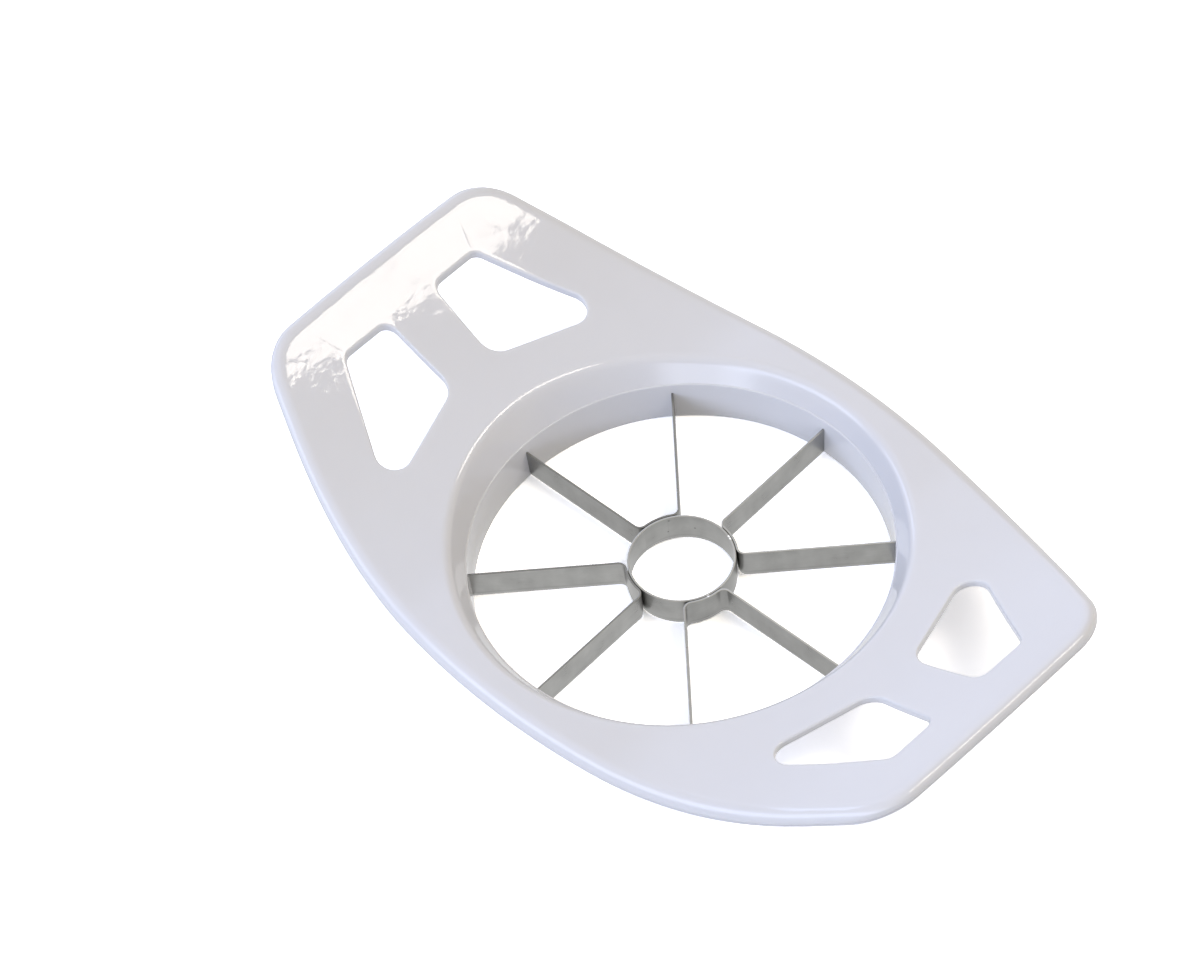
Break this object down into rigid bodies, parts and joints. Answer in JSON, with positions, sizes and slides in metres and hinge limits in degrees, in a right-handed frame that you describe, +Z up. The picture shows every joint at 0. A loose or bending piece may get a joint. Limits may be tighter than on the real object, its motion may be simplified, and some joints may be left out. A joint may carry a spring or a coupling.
{
  "type": "apple slicer",
  "caption": "Push-down apple slicer and corer: a white moulded frame with raised handles, finger cut-outs and a funnelled opening, spanned by steel blade spokes round a core ring.",
  "frame": {"origin": "centre of the bounding box's bottom face, on the axis of the core ring, at the drum's lower rim", "axes": "+X along the length over both handles, +Y across the width, +Z up, out of the funnel's mouth"},
  "size_m": [0.1906, 0.1162, 0.0375],
  "materials": {
    "frame_plastic": "glossy injection-moulded white plastic with a cool cast",
    "blade_steel": "fine-brushed stainless strip"
  },
  "bodies": {
    "root": {"frame": "frame_plastic", "core_ring": "blade_steel", "blade_strip_1": "blade_steel", "blade_strip_2": "blade_steel", "blade_strip_3": "blade_steel", "blade_strip_4": "blade_steel"}
  },
  "joints": []
}
